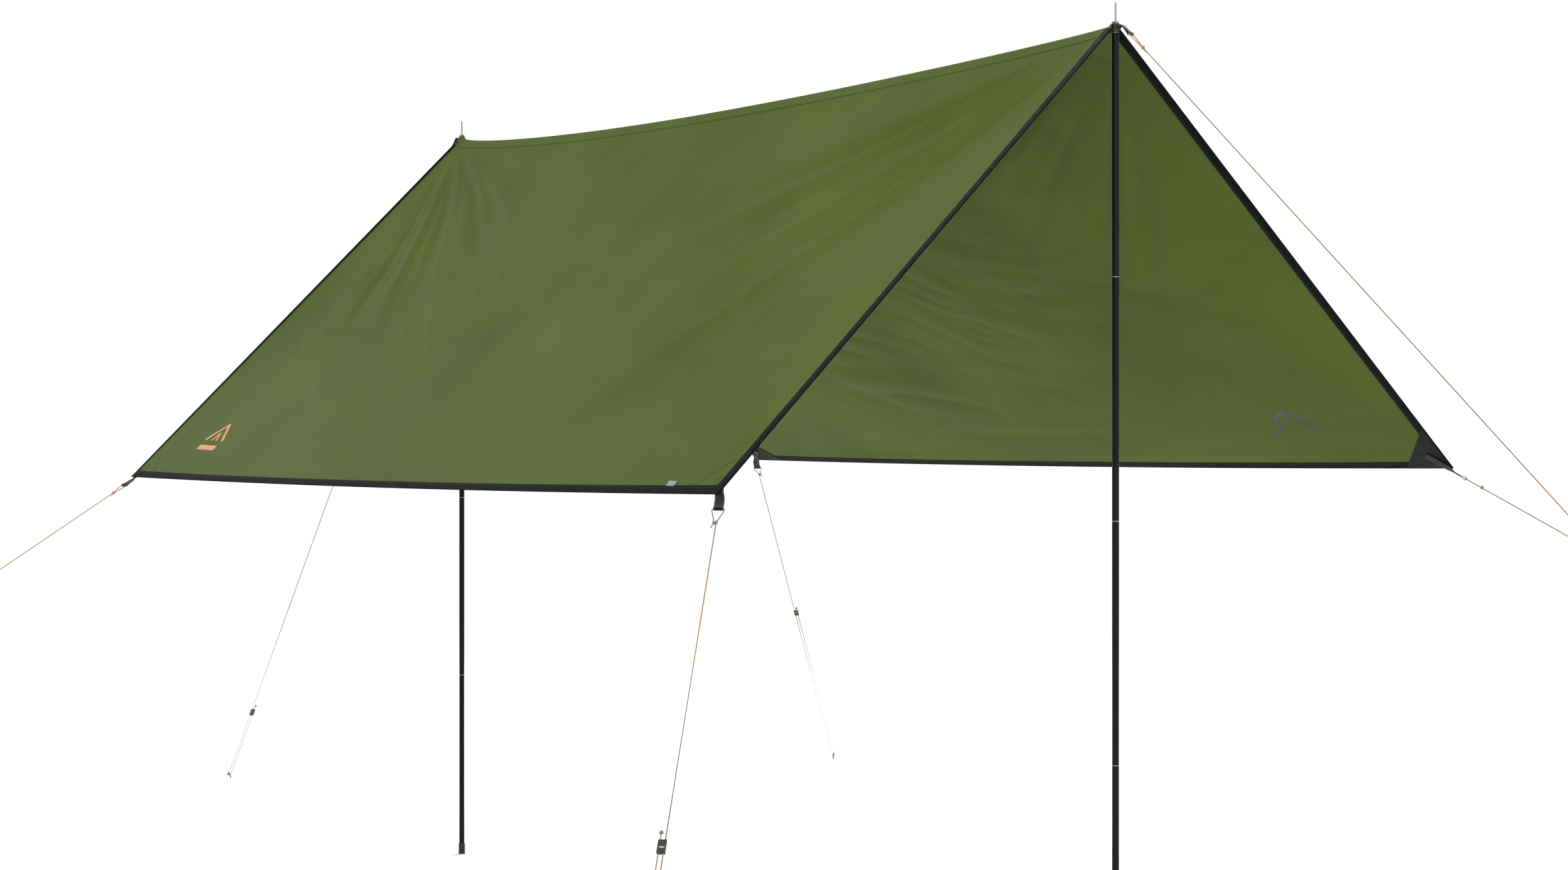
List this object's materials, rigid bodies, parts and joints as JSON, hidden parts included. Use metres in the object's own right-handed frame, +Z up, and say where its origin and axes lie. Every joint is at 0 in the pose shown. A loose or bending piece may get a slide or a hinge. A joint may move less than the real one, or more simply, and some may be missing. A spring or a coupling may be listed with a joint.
{
  "type": "tarp shelter",
  "caption": "Ridge tarp shelter: a square coated sheet over two sectional poles, held out by corded guy lines with tensioners and pegs.",
  "frame": {"origin": "on the ground, at the middle of the front pole's foot", "axes": "+Z up, +Y along the ridge from the front pole to the rear pole, +X to the right of someone who looks in at the front"},
  "size_m": [4.6325, 7.1899, 2.401],
  "materials": {
    "canopy_cloth": "coated woven polyester, olive green, satin",
    "edge_tape": "black folded grosgrain tape, stitched",
    "patch_cloth": "dark heavy woven patch cloth",
    "webbing": "black woven webbing",
    "label_cloth": "plain grey woven tag, blank",
    "eyelet_metal": "nickel-plated brass, pressed",
    "pole_tube": "black powder-coated steel tube, satin gloss",
    "foot_rubber": "black moulded rubber, matt",
    "plug_plastic": "black moulded nylon",
    "spike_steel": "zinc-plated steel pin",
    "guy_cord": "orange braided polyester cord",
    "slider_plastic": "black moulded acetal",
    "peg_steel": "zinc-plated steel wire"
  },
  "bodies": {
    "shelter": {"care_label": "label_cloth", "front_eyelet": "eyelet_metal", "front_left_binding": "edge_tape", "front_left_corner_patch": "patch_cloth", "front_left_guy_line": "guy_cord", "front_left_peg": "peg_steel", "front_left_tab": "webbing", "front_peak_patch": "patch_cloth", "front_peak_strip": "webbing", "front_ridge_guy_line": "guy_cord", "front_ridge_peg": "peg_steel", "front_right_binding": "edge_tape", "front_right_corner_patch": "patch_cloth", "front_right_guy_line": "guy_cord", "front_right_peg": "peg_steel", "front_right_tab": "webbing", "left_eave_binding": "edge_tape", "left_panel": "canopy_cloth", "rear_eyelet": "eyelet_metal", "rear_left_binding": "edge_tape", "rear_left_corner_patch": "patch_cloth", "rear_left_guy_line": "guy_cord", "rear_left_peg": "peg_steel", "rear_left_tab": "webbing", "rear_peak_patch": "patch_cloth", "rear_peak_strip": "webbing", "rear_ridge_guy_line": "guy_cord", "rear_ridge_peg": "peg_steel", "rear_right_binding": "edge_tape", "rear_right_corner_patch": "patch_cloth", "rear_right_guy_line": "guy_cord", "rear_right_peg": "peg_steel", "rear_right_tab": "webbing", "ridge_band": "canopy_cloth", "right_eave_binding": "edge_tape", "right_panel": "canopy_cloth"},
    "front_pole": {"front_pole_foot": "foot_rubber", "front_pole_plug": "plug_plastic", "front_pole_section_1": "pole_tube", "front_pole_section_2": "pole_tube", "front_pole_section_3": "pole_tube", "front_pole_section_4": "pole_tube", "front_pole_spike": "spike_steel"},
    "rear_pole": {"rear_pole_foot": "foot_rubber", "rear_pole_plug": "plug_plastic", "rear_pole_section_1": "pole_tube", "rear_pole_section_2": "pole_tube", "rear_pole_section_3": "pole_tube", "rear_pole_section_4": "pole_tube", "rear_pole_spike": "spike_steel"},
    "front_ridge_tensioner": {"front_ridge_slider": "slider_plastic"},
    "rear_ridge_tensioner": {"rear_ridge_slider": "slider_plastic"},
    "front_left_tensioner": {"front_left_slider": "slider_plastic"},
    "front_right_tensioner": {"front_right_slider": "slider_plastic"},
    "rear_left_tensioner": {"rear_left_slider": "slider_plastic"},
    "rear_right_tensioner": {"rear_right_slider": "slider_plastic"}
  },
  "joints": [
    {"name": "front_pole_turn", "type": "hinge", "parent": "shelter", "child": "front_pole", "pos_m": [0, 0, 0], "axis": [0, 0, 1], "continuous": true},
    {"name": "rear_pole_turn", "type": "hinge", "parent": "shelter", "child": "rear_pole", "pos_m": [0, 3, 0], "axis": [0, 0, 1], "continuous": true},
    {"name": "front_ridge_tension", "type": "slide", "parent": "shelter", "child": "front_ridge_tensioner", "axis": [0.2696, -0.6234, -0.734], "range_m": [0, 0.2]},
    {"name": "rear_ridge_tension", "type": "slide", "parent": "shelter", "child": "rear_ridge_tensioner", "axis": [0.0794, 0.7097, -0.7], "range_m": [0, 0.2]},
    {"name": "front_left_tension", "type": "slide", "parent": "shelter", "child": "front_left_tensioner", "axis": [-0.5296, -0.6059, -0.5937], "range_m": [0, 0.2]},
    {"name": "front_right_tension", "type": "slide", "parent": "shelter", "child": "front_right_tensioner", "axis": [0.5621, -0.6605, -0.4977], "range_m": [0, 0.2]},
    {"name": "rear_left_tension", "type": "slide", "parent": "shelter", "child": "rear_left_tensioner", "axis": [-0.4382, 0.7545, -0.4885], "range_m": [0, 0.2]},
    {"name": "rear_right_tension", "type": "slide", "parent": "shelter", "child": "rear_right_tensioner", "axis": [0.5929, 0.6203, -0.5135], "range_m": [0, 0.2]}
  ]
}
